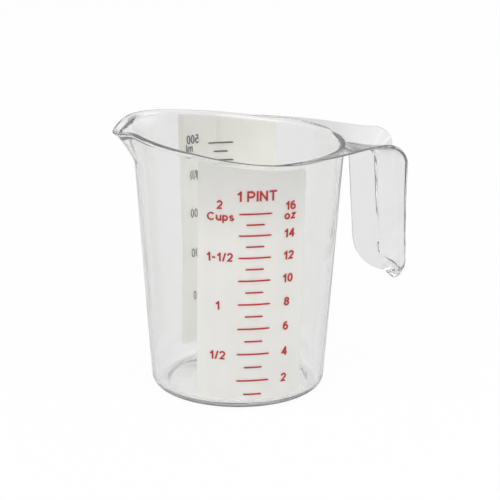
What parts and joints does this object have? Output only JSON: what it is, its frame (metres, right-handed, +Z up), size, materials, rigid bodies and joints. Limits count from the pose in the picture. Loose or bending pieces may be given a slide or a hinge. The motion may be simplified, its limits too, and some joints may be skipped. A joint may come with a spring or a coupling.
{
  "type": "measuring cup",
  "caption": "Clear tapered measuring cup with a pouring spout, an open down-turned handle off the rim, and volume scales printed front and back.",
  "frame": {"origin": "on the cup's axis, on the plane that its foot ring stands on", "axes": "+Z up, +X towards the handle, -X towards the spout, -Y towards the viewer and the ounce scale"},
  "size_m": [0.1335, 0.0964, 0.123],
  "materials": {
    "clear_plastic": "clear, polished",
    "backing_ink": "pale satin print",
    "red_ink": "printed",
    "grey_ink": "printed"
  },
  "bodies": {
    "root": {"cup_body": "clear_plastic", "front_scale_film": "backing_ink", "back_scale_film": "backing_ink", "ounce_mark_01": "red_ink", "ounce_mark_02": "red_ink", "ounce_mark_03": "red_ink", "ounce_mark_04": "red_ink", "ounce_mark_05": "red_ink", "ounce_mark_06": "red_ink", "ounce_mark_07": "red_ink", "ounce_mark_08": "red_ink", "ounce_mark_09": "red_ink", "ounce_mark_10": "red_ink", "ounce_mark_11": "red_ink", "ounce_mark_12": "red_ink", "ounce_mark_13": "red_ink", "ounce_mark_14": "red_ink", "ounce_mark_15": "red_ink", "ounce_mark_16": "red_ink", "millilitre_mark_01": "grey_ink", "millilitre_mark_02": "grey_ink", "millilitre_mark_03": "grey_ink", "millilitre_mark_04": "grey_ink", "millilitre_mark_05": "grey_ink", "millilitre_mark_06": "grey_ink", "millilitre_mark_07": "grey_ink", "millilitre_mark_08": "grey_ink", "millilitre_mark_09": "grey_ink", "millilitre_mark_10": "grey_ink", "millilitre_mark_11": "grey_ink", "millilitre_mark_12": "grey_ink", "millilitre_mark_13": "grey_ink", "millilitre_mark_14": "grey_ink", "millilitre_mark_15": "grey_ink", "millilitre_mark_16": "grey_ink", "millilitre_mark_17": "grey_ink", "millilitre_mark_18": "grey_ink", "millilitre_mark_19": "grey_ink", "millilitre_mark_20": "grey_ink"}
  },
  "joints": []
}
